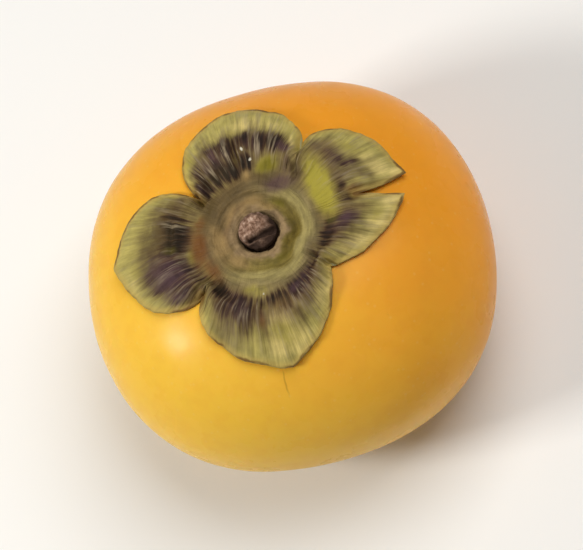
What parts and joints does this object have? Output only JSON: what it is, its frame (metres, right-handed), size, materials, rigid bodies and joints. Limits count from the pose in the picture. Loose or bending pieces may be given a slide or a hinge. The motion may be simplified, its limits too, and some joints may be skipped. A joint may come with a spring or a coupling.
{
  "type": "persimmon",
  "caption": "Ripe squat kaki persimmon standing on its blossom end, with a ringed leathery calyx of broad lobes, one torn, and a broken woody stem stub.",
  "frame": {"origin": "on the surface that the fruit stands on, under the middle of its outline from above", "axes": "+Z is the fruit's own axis, from the blossom end that it stands on up to the stem; +X and +Y lie across it, with the calyx's torn lobe towards +X"},
  "size_m": [0.0798, 0.0772, 0.0548],
  "materials": {
    "skin": "satin, waxy orange-yellow fruit skin",
    "calyx": "dull leathery olive sepals with purple-brown streaks",
    "stem": "rough broken woody stalk",
    "style": "dry, near-black withered style"
  },
  "bodies": {
    "root": {"fruit_body": "skin", "calyx": "calyx", "stem_stub": "stem", "style_tip": "style"}
  },
  "joints": []
}
